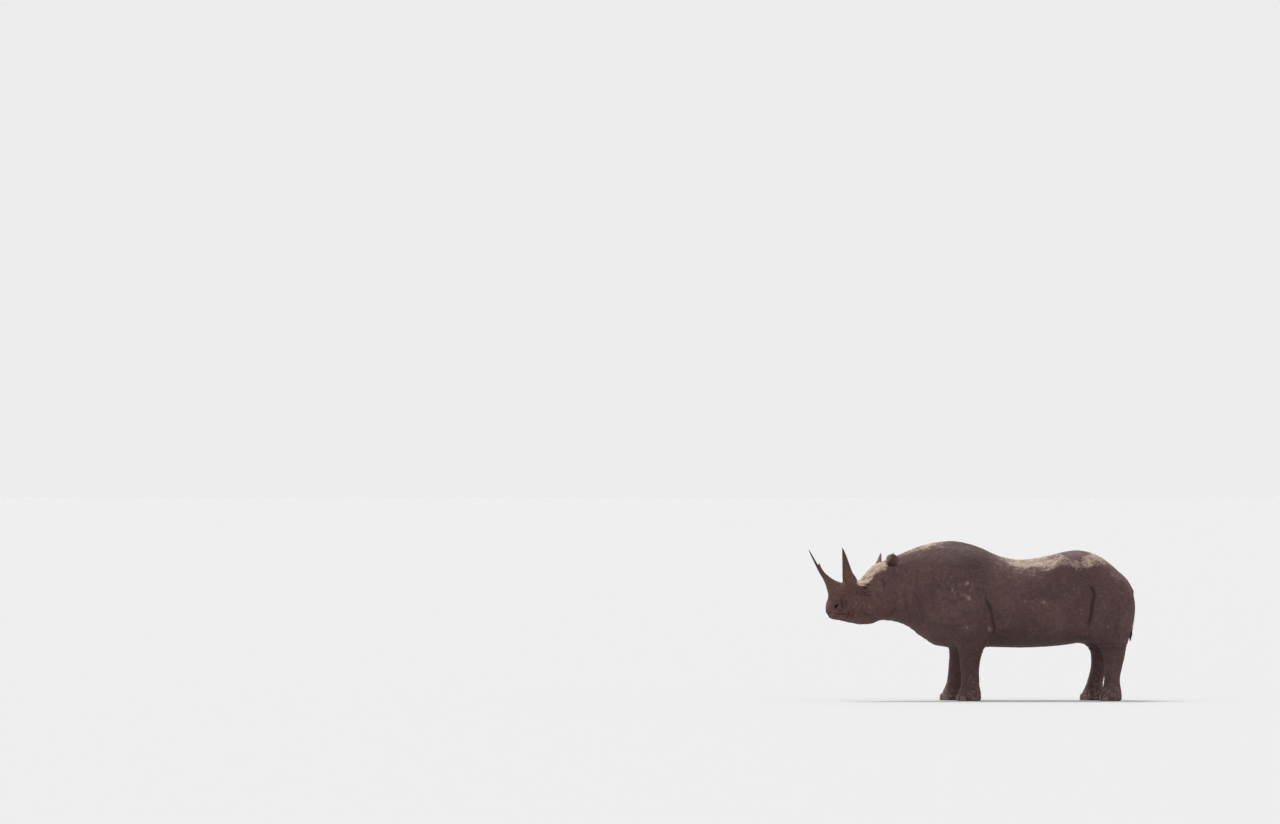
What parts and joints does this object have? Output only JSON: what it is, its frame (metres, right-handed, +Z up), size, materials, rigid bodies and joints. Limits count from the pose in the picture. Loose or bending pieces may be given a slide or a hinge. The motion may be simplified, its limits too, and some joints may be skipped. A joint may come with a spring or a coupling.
{
  "type": "black rhinoceros",
  "caption": "Life-size still model of a standing black rhinoceros with its head turned slightly left; long splintered front horn, upright rear horn, wrinkled grey-brown skin.",
  "frame": {"origin": "on the floor, under the middle of the animal's bounding box", "axes": "+Z up from the floor; the animal faces -X; its left side is -Y"},
  "size_m": [3.169, 0.814, 1.5565],
  "materials": {
    "skin": "matt, cracked and wrinkled hide",
    "horn": "fibrous, worn keratin",
    "nail": "worn keratin",
    "bristle": "coarse dark bristles",
    "eye": "wet, glossy"
  },
  "bodies": {
    "root": {"head": "skin", "lower_jaw": "skin", "horn_front": "horn", "horn_rear": "horn", "ear_left": "skin", "ear_right": "skin", "eye_left": "eye", "eye_right": "eye", "neck": "skin", "trunk": "skin", "tail": "skin", "tail_tuft": "bristle", "foreleg_left_upper": "skin", "foreleg_left_lower": "skin", "foreleg_left_foot": "skin", "foreleg_left_nail_middle": "nail", "foreleg_left_nail_inner": "nail", "foreleg_left_nail_outer": "nail", "foreleg_right_upper": "skin", "foreleg_right_lower": "skin", "foreleg_right_foot": "skin", "foreleg_right_nail_middle": "nail", "foreleg_right_nail_inner": "nail", "foreleg_right_nail_outer": "nail", "hindleg_left_upper": "skin", "hindleg_left_lower": "skin", "hindleg_left_foot": "skin", "hindleg_left_nail_middle": "nail", "hindleg_left_nail_inner": "nail", "hindleg_left_nail_outer": "nail", "hindleg_right_upper": "skin", "hindleg_right_lower": "skin", "hindleg_right_foot": "skin", "hindleg_right_nail_middle": "nail", "hindleg_right_nail_inner": "nail", "hindleg_right_nail_outer": "nail"}
  },
  "joints": []
}
